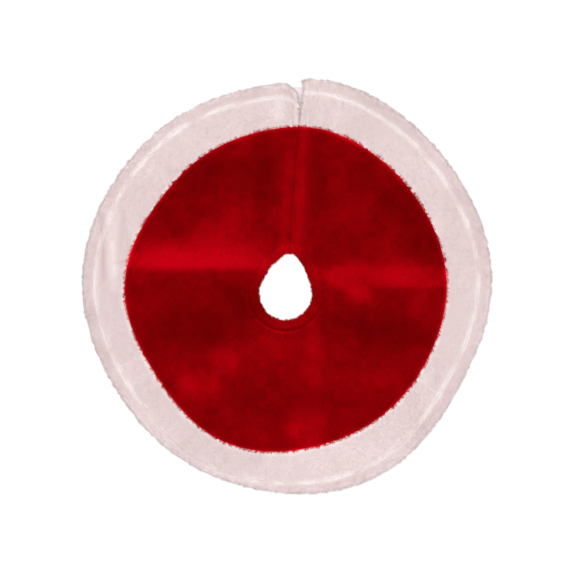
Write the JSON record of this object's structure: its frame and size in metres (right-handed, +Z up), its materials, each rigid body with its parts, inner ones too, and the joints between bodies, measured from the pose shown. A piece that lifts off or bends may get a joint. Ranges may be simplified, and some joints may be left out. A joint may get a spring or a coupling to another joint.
{
  "type": "tree skirt",
  "caption": "Round plush tree skirt with a red centre, a wide white border, an egg-shaped trunk hole and a slit with an underlap closure; folds along its storage creases.",
  "frame": {"origin": "middle of the skirt's outline on the floor, under the lining", "axes": "+Z up from the floor, the pile side up; +Y from the trunk hole towards the slit; +X to the right of the slit"},
  "size_m": [0.91, 0.91, 0.007],
  "materials": {
    "red_plush": "matte",
    "white_plush": "matte",
    "lining": "matte",
    "white_thread": "satin",
    "red_thread": "satin",
    "white_tape": "satin",
    "hook_and_loop": "matte"
  },
  "bodies": {
    "lower_left": {"centre_lower_left": "red_plush", "lining_lower_left": "lining", "border_left_lower": "white_plush", "border_bottom_left": "white_plush", "hem_stitching_lower_left": "white_thread", "neck_stitching_lower_left": "red_thread"},
    "upper_left": {"centre_upper_left": "red_plush", "lining_upper_left": "lining", "border_left_upper": "white_plush", "hem_stitching_upper_left": "white_thread", "neck_stitching_upper_left": "red_thread", "underlap_tape": "white_tape", "loop_pads": "hook_and_loop"},
    "lower_right": {"centre_lower_right": "red_plush", "lining_lower_right": "lining", "border_bottom_right": "white_plush", "border_right_lower": "white_plush", "hem_stitching_lower_right": "white_thread", "neck_stitching_lower_right": "red_thread"},
    "upper_right": {"centre_upper_right": "red_plush", "lining_upper_right": "lining", "border_right_upper": "white_plush", "hem_stitching_upper_right": "white_thread", "neck_stitching_upper_right": "red_thread", "slit_stitching_red": "red_thread", "slit_stitching_white": "white_thread", "hook_pads": "hook_and_loop"}
  },
  "joints": [
    {"name": "right_half_fold", "type": "hinge", "parent": "lower_left", "child": "lower_right", "pos_m": [0.005, 0, 0.0245], "axis": [0, -1, 0], "range_deg": [0, 179.9]},
    {"name": "upper_half_fold", "type": "hinge", "parent": "lower_left", "child": "upper_left", "pos_m": [0, 0.023, 0.0115], "axis": [1, 0, 0], "range_deg": [0, 179.9]},
    {"name": "upper_right_fold", "type": "hinge", "parent": "lower_right", "child": "upper_right", "pos_m": [0, 0.023, 0.0115], "axis": [1, 0, 0], "range_deg": [0, 179.9]}
  ],
  "couplings": [
    {"joint": "upper_right_fold", "follows": "upper_half_fold", "ratio": 1}
  ]
}
